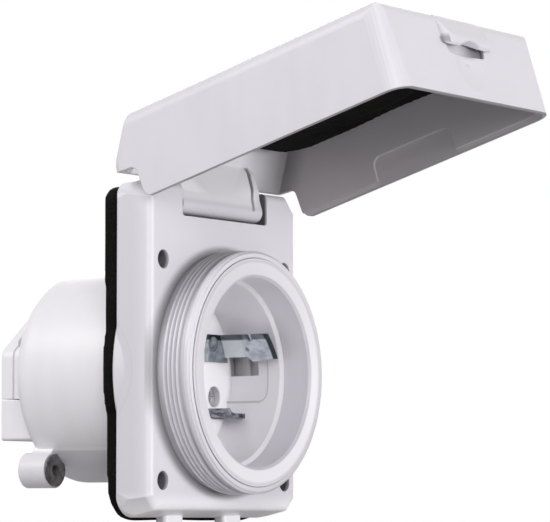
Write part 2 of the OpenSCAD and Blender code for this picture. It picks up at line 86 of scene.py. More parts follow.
class Sock:
    # a socket of a node tree: operators on it add Math nodes, and add() makes any other node
    def __init__(self, tree, out=None):
        self.tree, self.out = tree, out

    def add(self, kind, settings=None, inputs=None, output=0):
        node = self.tree.nodes.new(kind)
        for key, value in (settings or {}).items():
            setattr(node, key, value)
        for key, value in (inputs or {}).items():
            if isinstance(value, Sock):
                self.tree.links.new(value.out, node.inputs[key])
            else:
                node.inputs[key].default_value = value
        return Sock(self.tree, node.outputs[output] if node.outputs else None)

    def maths(self, operation, first, second=0.0):
        return self.add("ShaderNodeMath", {"operation": operation}, {0: first, 1: second})

    def __add__(self, other):
        return self.maths("ADD", self, other)

    def __radd__(self, other):
        return self.maths("ADD", other, self)

    def __sub__(self, other):
        return self.maths("SUBTRACT", self, other)

    def __rsub__(self, other):
        return self.maths("SUBTRACT", other, self)

    def __mul__(self, other):
        return self.maths("MULTIPLY", self, other)

    def __rmul__(self, other):
        return self.maths("MULTIPLY", other, self)

    def __pow__(self, other):
        return self.maths("POWER", self, other)

    def __abs__(self):
        return self.maths("ABSOLUTE", self)

    def ramp(self, low, high):
        # 0 below low and 1 above high, eased between them
        return self.add("ShaderNodeMapRange", {"interpolation_type": "SMOOTHSTEP"},
                        {"Value": self, "From Min": low, "From Max": high})

    def past(self, start, fade):
        # 0 up to start, 1 once past its fade
        return self.ramp(start, start + fade)

    def upTo(self, start, fade):
        # 1 up to start, 0 once past its fade
        return 1 - self.past(start, fade)

    def line(self, width, core):
        # for a distance: 1 within a core share of the width, 0 beyond the width
        return 1 - self.ramp(core * width, width)

    def tint(self, first, second):
        # colour that goes from first to second as this value goes from 0 to 1
        return self.add("ShaderNodeMix", {"data_type": "RGBA"}, {0: self, 6: first, 7: second}, 2)


def startPaint(name):
    material = bpy.data.materials.new(name)
    material.use_nodes = True
    material.node_tree.nodes.clear()
    return Sock(material.node_tree)


# two low lamps in front that reach the socket floor, softer ones at the left, above and behind
# (the near one at the left shines into the socket, but not into the lid); the lowest stands below the
# floor, which lets its light through, in place of the light that a white table throws back
studio = {
    "sky": (1, 1, 1, 1),
    "ambient": 0.185,
    "floorZ": -0.0474,
    "floorSize": 3.0,
    "paper": (0.86, 0.86, 0.86, 1),
    "paperBounce": (0.46, 0.46, 0.46, 1),
    "lamps": {
        "frontLamp": {"place": (0.0, -1.6, 0.06), "size": 0.6, "power": 9.8},
        "rightLamp": {"place": (0.5, -1.5, 0.08), "size": 0.6, "power": 3.5},
        "nearLamp": {"place": (-1.1, -0.85, 0.4), "size": 0.7, "power": 6.2},
        "leftLamp": {"place": (-1.15, 0.55, 0.85), "size": 0.8, "power": 11.5},
        "lowLamp": {"place": (0.3, -1.0, -0.8), "size": 0.8, "power": 3.2},
        "topLamp": {"place": (0.1, 0.3, 1.6), "size": 1.2, "power": 1.5},
        "backLamp": {"place": (1.2, 1.0, 0.6), "size": 1.0, "power": 8.0},
    },
}


def makeSky():
    # white where the camera, metal or gloss sees it, and dim as a light
    world = bpy.data.worlds.new("studioWorld")
    scene.world = world
    world.use_nodes = True
    world.node_tree.nodes.clear()
    air = Sock(world.node_tree)
    camera, glossy, clear = [air.add("ShaderNodeLightPath", output=ray) for ray in
                             ("Is Camera Ray", "Is Glossy Ray", "Is Transmission Ray")]
    shown = air.maths("MAXIMUM", camera, air.maths("MAXIMUM", glossy, clear))
    strength = shown * (1 - studio["ambient"]) + studio["ambient"]
    sky = air.add("ShaderNodeBackground", inputs={"Color": studio["sky"], "Strength": strength})
    air.add("ShaderNodeOutputWorld", inputs={"Surface": sky})


def makeLamps():
    for name, lamp in studio["lamps"].items():
        data = bpy.data.lights.new(name, "AREA")
        data.shape = "DISK"
        data.size = lamp["size"]
        data.energy = lamp["power"]
        light = bpy.data.objects.new(name, data)
        scene.collection.objects.link(light)
        light.location = lamp["place"]
        light.rotation_euler = (-Vector(lamp["place"])).to_track_quat("-Z", "Y").to_euler()


def makeFloor():
    # paper that the camera sees pale, and that throws little light back
    half, z = studio["floorSize"] / 2, studio["floorZ"]
    mesh = bpy.data.meshes.new("studioFloor")
    mesh.from_pydata([(-half, -half, z), (half, -half, z), (half, half, z), (-half, half, z)],
                     [], [(0, 1, 2, 3)])
    floor = bpy.data.objects.new("studioFloor", mesh)
    scene.collection.objects.link(floor)
    floor.visible_shadow = False
    paper = startPaint("floorPaper")
    direct = paper.add("ShaderNodeLightPath", output="Is Camera Ray")
    pale = paper.add("ShaderNodeBsdfDiffuse", inputs={"Color": studio["paper"]})
    dim = paper.add("ShaderNodeBsdfDiffuse", inputs={"Color": studio["paperBounce"]})
    both = paper.add("ShaderNodeMixShader", inputs={0: direct, 1: dim, 2: pale})
    paper.add("ShaderNodeOutputMaterial", inputs={"Surface": both})
    mesh.materials.append(bpy.data.materials["floorPaper"])


makeCamera()
makeSky()
makeLamps()
makeFloor()
print("camera and studio ready")


# edges that the shading rounds: rays spent on them, and the turn of the normal that counts as an edge
edges = {"samples": 6, "turn": (0.01, 0.25)}


def spotParts(paint):
    # Object coordinates, whole and split into x, y and z, in metres
    spot = paint.add("ShaderNodeTexCoord", output="Object")
    split = [paint.add("ShaderNodeSeparateXYZ", inputs={0: spot}, output=i) for i in range(3)]
    return spot, *split


def fromAxis(x, z):
    # distance from the socket axis
    return (x * x + z * z) ** 0.5


def noise(paint, spot, scale, detail=2.0, stretch=None):
    if stretch:
        spot = paint.add("ShaderNodeMapping", inputs={"Vector": spot, "Scale": stretch})
    return paint.add("ShaderNodeTexNoise", inputs={"Vector": spot, "Scale": scale, "Detail": detail})


def roundedNormal(paint, radius):
    return paint.add("ShaderNodeBevel", {"samples": edges["samples"]}, {"Radius": radius})


def edgeMask(paint, radius):
    # how far the rounded normal turns from the face normal: 1 on a sharp edge, 0 on a flat face
    plain = paint.add("ShaderNodeNewGeometry", output="Normal")
    dot = paint.add("ShaderNodeVectorMath", {"operation": "DOT_PRODUCT"},
                    {0: roundedNormal(paint, radius), 1: plain}, 1)
    return (1 - dot).ramp(*edges["turn"])


def finishPaint(paint, colour, roughness, height, bumpDistance, edgeR, metallic=0.0):
    # the shared last steps: rounded edges, bump, one shader
    normal = paint.add("ShaderNodeBump", inputs={
        "Strength": 1.0, "Distance": bumpDistance, "Height": height,
        "Normal": roundedNormal(paint, edgeR)})
    shader = paint.add("ShaderNodeBsdfPrincipled", inputs={
        "Base Color": colour, "Roughness": roughness, "Metallic": metallic, "Normal": normal})
    paint.add("ShaderNodeOutputMaterial", inputs={"Surface": shader})


# moulded plastic: tone drifts slowly and along the flow, a fine grain breaks the gloss
plastic = {
    "driftScale": 38.0,
    "driftDetail": 3.0,
    "flowScale": 24.0,
    "flowStretch": (1.0, 6.0, 1.0),
    "grainScale": 2400.0,
    "grainHeight": 0.00001,
    "toneSpan": (0.35, 0.65),
    "edgeShare": 0.5,
    "edgeR": 0.5 * mm,
    "roughness": 0.34,
    "driftGloss": 0.12,
    "grainGloss": 0.10,
}

# the lid is painted a little greyer than the faceplate, as painted shade, and the rear cup whiter, as painted
# light;
# the socket cup is whiter too
plasticTones = {
    "housingPlastic": {
        "tone": (0.785, 0.756, 0.812, 1),
        "shadeTone": (0.755, 0.726, 0.782, 1),
        "edgeTone": (0.825, 0.800, 0.850, 1)},
    "lidPlastic": {
        "tone": (0.750, 0.722, 0.776, 1),
        "shadeTone": (0.725, 0.697, 0.750, 1),
        "edgeTone": (0.800, 0.775, 0.825, 1)},
    "carrierPlastic": {
        "tone": (0.870, 0.850, 0.880, 1),
        "shadeTone": (0.850, 0.830, 0.860, 1),
        "edgeTone": (0.920, 0.905, 0.925, 1)},
    "enclosurePlastic": {
        "tone": (0.915, 0.885, 0.930, 1),
        "shadeTone": (0.885, 0.855, 0.900, 1),
        "edgeTone": (0.940, 0.915, 0.950, 1)},
    "retainerPlastic": {
        "tone": (0.66, 0.63, 0.55, 1),
        "shadeTone": (0.60, 0.57, 0.48, 1),
        "edgeTone": (0.72, 0.69, 0.62, 1)},
}


def plasticFinish(name, marks=(), relief=None):
    # each mark shades the colour at some places, and relief adds to the height of the grain
    tones = plasticTones[name]
    paint = startPaint(name)
    spot, x, y, z = spotParts(paint)
    drift = noise(paint, spot, plastic["driftScale"], plastic["driftDetail"])
    flow = noise(paint, spot, plastic["flowScale"], stretch=plastic["flowStretch"])
    grain = noise(paint, spot, plastic["grainScale"])
    colour = ((drift + flow) * 0.5).ramp(*plastic["toneSpan"]).tint(tones["shadeTone"], tones["tone"])
    # lighter on the edges
    onEdges = edgeMask(paint, plastic["edgeR"]) * plastic["edgeShare"]
    colour = onEdges.tint(colour, tones["edgeTone"])
    for mark in marks:
        colour = mark(paint, colour, x, y, z)
    roughness = plastic["roughness"] + (drift - 0.5) * plastic["driftGloss"] + (
        grain - 0.5) * plastic["grainGloss"]
    height = grain + relief(paint, x, y, z) if relief else grain
    finishPaint(paint, colour, roughness, height, plastic["grainHeight"], plastic["edgeR"])


# painted light on the floor of the socket
socketFloor = {
    "wallR": 28.0 * mm,
    "frontY": 0.3 * mm,
    "backY": 0.9 * mm,
    "fade": 0.3 * mm,
    "tone": (0.975, 0.955, 0.985, 1),
}


def floorLight(paint, colour, x, y, z):
    # painted light on the floor
    inside = fromAxis(x, z).upTo(socketFloor["wallR"], socketFloor["fade"])
    level = y.past(socketFloor["frontY"], socketFloor["fade"]) * y.upTo(
        socketFloor["backY"], socketFloor["fade"])
    return (inside * level).tint(colour, socketFloor["tone"])


# window in the right side of the socket cup: unlit behind, darkest at the floor
window = {
    "minR": 28.9 * mm,
    "minFade": 0.3 * mm,
    "maxR": 33.6 * mm,
    "maxFade": 0.2 * mm,
    "minX": 26 * mm,
    "sideFade": 1.0 * mm,
    "lowZ": 0.3 * mm,
    "highZ": 6.6 * mm,
    "frontY": -9.9 * mm,
    "backY": 1.6 * mm,
    "endY": 2.6 * mm,
    "endFade": 0.2 * mm,
    "edge": 0.1 * mm,
    "frontShare": 0.1,
    "backShare": 0.72,
    "dark": (0.21, 0.205, 0.21, 1),
}


def windowShade(paint, colour, x, y, z):
    radius = fromAxis(x, z)
    beyond = radius.past(window["minR"], window["minFade"]) * radius.upTo(
        window["maxR"], window["maxFade"]) * x.past(window["minX"], window["sideFade"])
    between = z.past(window["lowZ"], window["edge"]) * z.upTo(window["highZ"], window["edge"])
    inSpan = y.past(window["frontY"] - window["edge"], window["edge"]) * y.upTo(
        window["endY"], window["endFade"])
    depth = y.ramp(window["frontY"], window["backY"])
    share = window["frontShare"] + depth * (window["backShare"] - window["frontShare"])
    return (beyond * between * inSpan * share).tint(colour, window["dark"])


# shaded border of the shallow recess in the right side of the socket
recess = {
    "minX": 14 * mm,
    "sideFade": 1.0 * mm,
    "wallR": 27.6 * mm,
    "wallFade": 0.2 * mm,
    "frontY": -13.8 * mm,
    "halfZ": 8 * mm,
    "cornerR": 3 * mm,
    "lineW": 0.55 * mm,
    "lineCore": 0.2,
    "share": 0.8,
    "tone": (0.50, 0.50, 0.51, 1),
}


def recessLine(paint, colour, x, y, z):
    # distance to a rounded corner, as the length of what reaches past the corner's centre
    pastY = paint.maths("MAXIMUM", recess["frontY"] + recess["cornerR"] - y, 0.0)
    pastZ = paint.maths("MAXIMUM", abs(z) - (recess["halfZ"] - recess["cornerR"]), 0.0)
    away = abs((pastY * pastY + pastZ * pastZ) ** 0.5 - recess["cornerR"])
    onWall = fromAxis(x, z).past(recess["wallR"], recess["wallFade"])
    onRight = x.past(recess["minX"], recess["sideFade"])
    line = away.line(recess["lineW"], recess["lineCore"]) * onRight * onWall
    return (line * recess["share"]).tint(colour, recess["tone"])


# painted highlight along a crease on the lower side of the rear cup, where the lugs stand on it, and painted shade
# below it
cupCrease = {
    "level": -23.6 * mm,
    "fade": 0.3 * mm,
    "width": 0.7 * mm,
    "core": 0.3,
    "light": (0.97, 0.95, 0.98, 1),
    "below": (0.80, 0.77, 0.82, 1),
}


def creaseShade(paint, colour, x, y, z):
    # painted shade below the crease, painted highlight along it
    below = z.upTo(cupCrease["level"] - cupCrease["fade"], cupCrease["fade"])
    line = abs(z - cupCrease["level"]).line(cupCrease["width"], cupCrease["core"])
    return line.tint(below.tint(colour, cupCrease["below"]), cupCrease["light"])


# front of the faceplate, front of the collar and the band where the faceplate ends at the bottom, which gets
# painted light
housing = {
    "plateFront": -16.8 * mm,
    "collarFront": -29.4 * mm,
    "bottomZ": -43.2 * mm,
    "bottomFade": 6.7 * mm,
    "bottomLightTone": (0.960, 0.935, 0.970, 1),
}

# painted shade in the mounting holes, whose places come from the frame
holePattern = frame["record"]["mounts"][0]["dims"]
holes = {
    "fromMiddle": holePattern["spacing_x_mm"] / 2 * mm,
    "radius": holePattern["hole_r_mm"] * mm,
    "skin": 0.02 * mm,
    "edge": 0.1 * mm,
    "clean": 0.3 * mm,
    "fade": 1.3 * mm,
    "paintedShade": (0.20, 0.19, 0.20, 1),
}


def holeShade(paint, colour, x, y, z):
    fromHole = fromAxis(abs(x) - holes["fromMiddle"], abs(z) - holes["fromMiddle"])
    inHole = fromHole.upTo(holes["radius"] + holes["skin"], holes["edge"])
    deep = y.past(housing["plateFront"] + holes["clean"], holes["fade"])
    # painted shade on the walls of the holes
    return (inHole * deep).tint(colour, holes["paintedShade"])


# painted shade between the ridges of the thread and under the lid, and a line of painted shade for a groove behind
# the collar's lip
collarSide = {
    "bandY": -26.2 * mm,
    "bandFade": 0.4 * mm,
    "footFade": 0.5 * mm,
    "boreSide": 36.0 * mm,
    "boreFade": 0.2 * mm,
    "valleyR": 36.95 * mm,
    "crestR": 37.7 * mm,
    "valley": (0.60, 0.58, 0.62, 1),
    "lidLow": 10 * mm,
    "lidHigh": 36 * mm,
    "lidShare": 0.65,
    "underLid": (0.26, 0.25, 0.265, 1),
    "lipY": -26.85 * mm,
    "lipW": 0.45 * mm,
    "lipCore": 0.3,
    "lipShare": 0.7,
}


def threadShade(paint, colour, x, y, z):
    radius = fromAxis(x, z)
    raised = radius.ramp(collarSide["valleyR"], collarSide["crestR"])
    onThread = y.past(collarSide["bandY"], collarSide["bandFade"]) * y.upTo(
        housing["plateFront"] - collarSide["footFade"], collarSide["footFade"]) * radius.past(
            collarSide["boreSide"], collarSide["boreFade"])
    # painted shade in the valleys, then under the lid, then in the line behind the lip
    colour = (onThread * (1 - raised)).tint(colour, collarSide["valley"])
    high = z.ramp(collarSide["lidLow"], collarSide["lidHigh"])
    colour = (onThread * high * collarSide["lidShare"]).tint(colour, collarSide["underLid"])
    lip = abs(y - collarSide["lipY"]).line(collarSide["lipW"], collarSide["lipCore"]) * raised
    return (lip * collarSide["lipShare"]).tint(colour, collarSide["valley"])


# painted shade on the sides of the faceplate, and painted shade on it round the foot of the collar, wider at the
# sides
plateShade = {
    "sideX": 40.5 * mm,
    "sideFade": 0.8 * mm,
    "sideShadeTone": (0.690, 0.662, 0.714, 1),
    "proud": 0.3 * mm,
    "proudFade": 0.2 * mm,
    "depth": 1.5 * mm,
    "depthFade": 1.0 * mm,
    "footR": 38.4 * mm,
    "footReach": 40.4 * mm,
    "sideReach": 3.2 * mm,
    "footShare": 0.8,
    "footShadeTone": (0.26, 0.25, 0.265, 1),
}


def plateShading(paint, colour, x, y, z):
    # painted shade on the sides, then round the foot of the collar
    aboveBottom = z.past(housing["bottomZ"], housing["bottomFade"])
    onSide = abs(x).past(plateShade["sideX"], plateShade["sideFade"]) * aboveBottom
    colour = onSide.tint(colour, plateShade["sideShadeTone"])
    radius = fromAxis(x, z)
    sideways = x * x * radius ** -2.0
    reach = sideways * plateShade["sideReach"] + plateShade["footReach"]
    onPlate = y.past(housing["plateFront"] - plateShade["proud"], plateShade["proudFade"]) * y.upTo(
        housing["plateFront"] + plateShade["depth"], plateShade["depthFade"])
    atFoot = onPlate * (1 - radius.ramp(plateShade["footR"], reach))
    return (atFoot * plateShade["footShare"]).tint(colour, plateShade["footShadeTone"])


def bottomLight(paint, colour, x, y, z):
    # painted light towards the bottom of the faceplate
    return z.upTo(housing["bottomZ"], housing["bottomFade"]).tint(colour, housing["bottomLightTone"])


# painted shade along the curved outline of the flat on each side of the faceplate, and lightly over the flat
sideFlat = {
    "minX": 39.5 * mm,
    "sideFade": 0.5 * mm,
    "edgeY": -10.5 * mm,
    "curve": 25.0,
    "lineW": 0.4 * mm,
    "lineCore": 0.2,
    "lineShare": 0.5,
    "flatShare": 0.12,
    "tone": (0.62, 0.595, 0.64, 1),
}


def flatOutlineShade(paint, colour, x, y, z):
    # painted shade on the outline and over the flat
    onSide = abs(x).past(sideFlat["minX"], sideFlat["sideFade"])
    fromEdge = y - sideFlat["edgeY"] - z * z * sideFlat["curve"]
    outline = abs(fromEdge).line(sideFlat["lineW"], sideFlat["lineCore"]) * onSide
    inFlat = fromEdge.past(0.0, sideFlat["lineW"]) * onSide
    mark = outline * sideFlat["lineShare"] + inFlat * sideFlat["flatShare"]
    return mark.tint(colour, sideFlat["tone"])


# shade in the pocket of the faceplate behind the lid's knuckle
pocket = {
    "halfX": 23.6 * mm,
    "floorZ": 47.7 * mm,
    "edge": 0.1 * mm,
    "clean": 0.2 * mm,
    "fade": 0.8 * mm,
    "dark": (0.16, 0.155, 0.16, 1),
}


def pocketShade(paint, colour, x, y, z):
    within = abs(x).upTo(pocket["halfX"], pocket["edge"]) * z.past(pocket["floorZ"], pocket["edge"])
    deep = y.past(housing["plateFront"] + pocket["clean"], pocket["fade"])
    return (within * deep).tint(colour, pocket["dark"])


# front of the collar, with painted light on it: fine turning marks, a shallow groove round it with painted shade
# in it, and a slope in towards the bore
collarFace = {
    "skin": 0.05 * mm,
    "fade": 0.15 * mm,
    "tone": (0.865, 0.835, 0.890, 1),
    "ringPitch": 0.9 * mm,
    "ringHeight": 0.25,
    "beadR": 34.8 * mm,
    "beadW": 1.0 * mm,
    "beadCore": 0.1,
    "beadDepth": 6.0,
    "beadShare": 0.6,
    "beadShadeTone": (0.56, 0.54, 0.58, 1),
    "boreR": 29.5 * mm,
    "funnel": 0.30,
    "funnelSkin": 0.2 * mm,
    "funnelFade": 0.5 * mm,
    "fallFrom": 35.2 * mm,
    "fallTo": 38.2 * mm,
}


def faceMasks(radius, y):
    # the collar's front face and the groove round it
    onFace = y.upTo(housing["collarFront"] + collarFace["skin"], collarFace["fade"])
    bead = onFace * abs(radius - collarFace["beadR"]).line(collarFace["beadW"], collarFace["beadCore"])
    return onFace, bead


def faceLightAndShade(paint, colour, x, y, z):
    onFace, bead = faceMasks(fromAxis(x, z), y)
    # painted light on the face of the collar, painted shade in its groove
    colour = onFace.tint(colour, collarFace["tone"])
    return (bead * collarFace["beadShare"]).tint(colour, collarFace["beadShadeTone"])


def faceRelief(paint, x, y, z):
    # rises evenly from the bore to the groove, then falls away to the collar's outer edge
    radius = fromAxis(x, z)
    onFace, bead = faceMasks(radius, y)
    rings = paint.maths("SINE", radius * (2 * math.pi / collarFace["ringPitch"]))
    rise = paint.maths("MINIMUM", radius, collarFace["beadR"]) - collarFace["boreR"]
    fall = 1 - radius.ramp(collarFace["fallFrom"], collarFace["fallTo"])
    nearFront = y.upTo(housing["collarFront"] + collarFace["funnelSkin"], collarFace["funnelFade"])
    funnel = rise * fall * nearFront * (collarFace["funnel"] / plastic["grainHeight"])
    return rings * onFace * collarFace["ringHeight"] - bead * collarFace["beadDepth"] + funnel


# shade in the groove beside the rib of the lid's hinge web
webGroove = {
    "lowZ": 52.2 * mm,
    "lowFade": 0.2 * mm,
    "highZ": 66.2 * mm,
    "highFade": 0.4 * mm,
    "lowX": 17.0 * mm,
    "lean": 0.219,
    "halfW": 0.9 * mm,
    "core": 0.6,
    "frontY": -9.4 * mm,
    "frontFade": 0.2 * mm,
    "tone": (0.36, 0.35, 0.37, 1),
}


def grooveShade(paint, colour, x, y, z):
    away = abs(x - webGroove["lowX"] - (z - webGroove["lowZ"]) * webGroove["lean"])
    span = z.past(webGroove["lowZ"] - webGroove["lowFade"], webGroove["lowFade"]) * z.upTo(
        webGroove["highZ"], webGroove["highFade"])
    inFront = y.upTo(webGroove["frontY"], webGroove["frontFade"])
    line = away.line(webGroove["halfW"], webGroove["core"])
    return (line * span * inFront).tint(colour, webGroove["tone"])


# painted shade on the rim face of the lid and on the inner faces of its sides, and its hinge wall, with painted
# light at the left that falls into painted shade at the right
lidShade = {
    "rimY": -11.16 * mm,
    "rimFade": 0.2 * mm,
    "sideX": 42.0 * mm,
    "sideFade": 0.3 * mm,
    "endZ": -46.0 * mm,
    "endRim": 1.0 * mm,
    "rimShadeTone": (0.36, 0.35, 0.37, 1),
    "insideX": 38.0 * mm,
    "insideFade": 2.0 * mm,
    "outsideX": 44.6 * mm,
    "outsideFade": 0.2 * mm,
    "endFade": 3.0 * mm,
    "ceilingY": -36.6 * mm,
    "ceilingFade": 0.5 * mm,
    "insideShadeTone": (0.60, 0.57, 0.59, 1),
    "skin": 0.6 * mm,
    "wallLow": 52.5 * mm,
    "wallLowFade": 2.0 * mm,
    "wallHigh": 81.0 * mm,
    "wallHighFade": 3.0 * mm,
    "lightFrontY": -17.5 * mm,
    "lightEndX": 42.5 * mm,
    "lightEdge": 0.5 * mm,
    "lightX": 16.0 * mm,
    "lightFade": 10.0 * mm,
    "lightTone": (0.94, 0.91, 0.96, 1),
    "darkReach": 9.0 * mm,
    "darkEndX": 43.6 * mm,
    "darkEdge": 0.4 * mm,
    "darkX": 22.0 * mm,
    "darkFade": 19.0 * mm,
    "darkShare": 0.85,
    "darkTone": (0.30, 0.29, 0.305, 1),
}


def closedPlace(y, z):
    # where a point of the open lid lies once the lid is closed
    c, s = math.cos(hinge["closing"]), math.sin(hinge["closing"])
    offY, offZ = y - hinge["y"], z - hinge["z"]
    return offY * c - offZ * s + hinge["y"], offY * s + offZ * c + hinge["z"]


def lidLightAndShade(paint, colour, x, y, z):
    look = lidShade
    closedY, closedZ = closedPlace(y, z)
    # painted shade on the rim face and the inner faces of the sides, painted light and shade on the hinge wall
    atEnd = closedZ.upTo(look["endZ"] - look["endRim"], look["endRim"])
    atSide = abs(x).past(look["sideX"], look["sideFade"])
    onRim = closedY.past(look["rimY"], look["rimFade"])
    colour = (onRim * paint.maths("MAXIMUM", atSide, atEnd)).tint(colour, look["rimShadeTone"])

    behindWall = y - hingeWall["y"] - (z - hingeWall["z"]) * hingeWall["slope"]
    inner = behindWall.upTo(look["skin"], look["skin"])
    onSides = abs(x).past(look["insideX"], look["insideFade"]) * abs(x).upTo(
        look["outsideX"], look["outsideFade"])
    belowCeiling = closedY.past(look["ceilingY"], look["ceilingFade"])
    offEnd = closedZ.past(look["endZ"], look["endFade"])
    onInside = inner * onSides * belowCeiling * offEnd * (1 - onRim)
    colour = onInside.tint(colour, look["insideShadeTone"])

    underCeiling = closedY.past(look["ceilingY"] - 2 * look["skin"], look["skin"])
    level = inner * underCeiling * z.past(look["wallLow"], look["wallLowFade"]) * z.upTo(
        look["wallHigh"], look["wallHighFade"])
    light = level * y.past(look["lightFrontY"], look["lightEdge"]) * abs(x).upTo(
        look["lightEndX"], look["lightEdge"]) * x.upTo(look["lightX"], look["lightFade"]) * (1 - onInside)
    colour = light.tint(colour, look["lightTone"])
    dark = level * behindWall.past(-look["darkReach"], look["darkReach"]) * abs(x).upTo(
        look["darkEndX"], look["darkEdge"]) * x.past(look["darkX"], look["darkFade"])
    return (dark * look["darkShare"]).tint(colour, look["darkTone"])


# shade in the hollow under the finger pull of the lid, deepest at the right, and on its left flank
pull = {
    "halfX": 12.0 * mm,
    "sideFade": 0.2 * mm,
    "wallY": -104.73 * mm,
    "wallZ": 93.07 * mm,
    "wallSlope": 0.30,
    "skin": 0.2 * mm,
    "skinFade": 1.1 * mm,
    "depth": 5.0 * mm,
    "depthFade": 1.0 * mm,
    "lowZ": 92.0 * mm,
    "lowFade": 1.0 * mm,
    "highZ": 97.7 * mm,
    "highFade": 0.3 * mm,
    "deepX": -4.0 * mm,
    "deepFade": 12.0 * mm,
    "leftShare": 0.2,
    "rightShare": 0.85,
    "flankX": -12.0 * mm,
    "flankFade": 0.4 * mm,
    "flankEndX": -14.5 * mm,
    "flankEndFade": 1.3 * mm,
    "flankY": -103.2 * mm,
    "flankLow": 95.8 * mm,
    "flankLowFade": 1.0 * mm,
    "flankHigh": 97.6 * mm,
    "flankHighFade": 2.0 * mm,
    "flankShare": 0.6,
    "tone": (0.12, 0.115, 0.12, 1),
}


def pullShade(paint, colour, x, y, z):
    depth = y - pull["wallY"] - (z - pull["wallZ"]) * pull["wallSlope"]
    level = z.past(pull["lowZ"], pull["lowFade"]) * z.upTo(pull["highZ"], pull["highFade"])
    within = level * abs(x).upTo(pull["halfX"], pull["sideFade"]) * y.upTo(
        pull["wallY"] + pull["depth"], pull["depthFade"])
    toRight = x.past(pull["deepX"], pull["deepFade"])
    share = toRight * (pull["rightShare"] - pull["leftShare"]) + pull["leftShare"]
    hollow = depth.past(pull["skin"], pull["skinFade"]) * within * share
    flank = x.upTo(pull["flankX"], pull["flankFade"]) * x.past(
        pull["flankEndX"], pull["flankEndFade"]) * y.upTo(pull["flankY"], pull["flankFade"]) * z.past(
            pull["flankLow"], pull["flankLowFade"]) * z.upTo(pull["flankHigh"], pull["flankHighFade"])
    return paint.maths("MINIMUM", hollow + flank * pull["flankShare"], 1.0).tint(colour, pull["tone"])


# closed-cell foam with a smooth skin: faint round cells, a slow change of sheen
foam = {
    "skin": (0.0035, 0.0032, 0.0028, 1),
    "cell": (0.0090, 0.0085, 0.0078, 1),
    "cellScale": 1300.0,
    "cellSpan": (0.15, 0.5),
    "cellHeight": 0.00003,
    "driftScale": 90.0,
    "driftGloss": 0.3,
    "roughness": 0.66,
    "sheen": 0.05,
}


def foamFinish(name):
    paint = startPaint(name)
    spot = spotParts(paint)[0]
    cells = paint.add("ShaderNodeTexVoronoi", inputs={"Vector": spot, "Scale": foam["cellScale"]})
    drift = noise(paint, spot, foam["driftScale"])
    colour = (cells * drift).ramp(*foam["cellSpan"]).tint(foam["skin"], foam["cell"])
    roughness = foam["roughness"] + (drift - 0.5) * foam["driftGloss"]
    normal = paint.add("ShaderNodeBump", inputs={
        "Strength": 1.0, "Distance": foam["cellHeight"], "Height": cells})
    shader = paint.add("ShaderNodeBsdfPrincipled", inputs={
        "Base Color": colour, "Roughness": roughness, "Normal": normal,
        "Specular IOR Level": foam["sheen"]})
    paint.add("ShaderNodeOutputMaterial", inputs={"Surface": shader})


# metals: streaks along the drawing direction over slow clouds, and a worn or tarnished tone on the edges
metalLook = {
    "streakDetail": 3.0,
    "streakShare": 0.7,
    "cloudScale": 160.0,
    "toneSpan": (0.36, 0.62),
    "streakGloss": 0.3,
    "streakHeight": 0.000008,
    "edgeShare": 0.6,
    "edgeR": 0.25 * mm,
}
metals = {
    "contactMetal": {
        "tone": (0.58, 0.62, 0.68, 1), "streak": (0.34, 0.38, 0.43, 1), "edge": (0.08, 0.09, 0.11, 1),
        "roughness": 0.34, "stretch": (3.0, 1.5, 3.0), "streakScale": 190.0, "metallic": 0.75},
    "bladeMetal": {
        "tone": (0.36, 0.39, 0.44, 1), "streak": (0.035, 0.04, 0.05, 1), "edge": (0.02, 0.022, 0.026, 1),
        "roughness": 0.36, "stretch": (1.0, 1.0, 1.0), "streakScale": 420.0, "metallic": 0.80},
    "rivetMetal": {
        "tone": (0.30, 0.32, 0.36, 1), "streak": (0.12, 0.13, 0.15, 1), "edge": (0.03, 0.033, 0.04, 1),
        "roughness": 0.55, "stretch": (1.0, 1.0, 1.0), "streakScale": 420.0, "metallic": 0.6},
    # dark steel on the lug sleeves, as painted shade on the front faces of the lugs
    "sleeveShadeMetal": {
        "tone": (0.24, 0.225, 0.23, 1), "streak": (0.09, 0.085, 0.088, 1), "edge": (0.03, 0.03, 0.03, 1),
        "roughness": 0.5, "stretch": (1.0, 1.0, 1.0), "streakScale": 520.0, "metallic": 0.3},
    "screwSteel": {
        "tone": (0.60, 0.61, 0.63, 1), "streak": (0.40, 0.41, 0.43, 1), "edge": (0.22, 0.22, 0.23, 1),
        "roughness": 0.34, "stretch": (3.0, 1.0, 3.0), "streakScale": 260.0, "metallic": 0.9},
    "terminalBrass": {
        "tone": (0.66, 0.50, 0.20, 1), "streak": (0.46, 0.33, 0.12, 1), "edge": (0.72, 0.58, 0.28, 1),
        "roughness": 0.36, "stretch": (1.0, 8.0, 1.0), "streakScale": 80.0, "metallic": 1.0},
    "groundGreen": {
        "tone": (0.06, 0.27, 0.10, 1), "streak": (0.04, 0.19, 0.07, 1), "edge": (0.50, 0.42, 0.20, 1),
        "roughness": 0.38, "stretch": (1.0, 1.0, 1.0), "streakScale": 200.0, "metallic": 0.35},
}


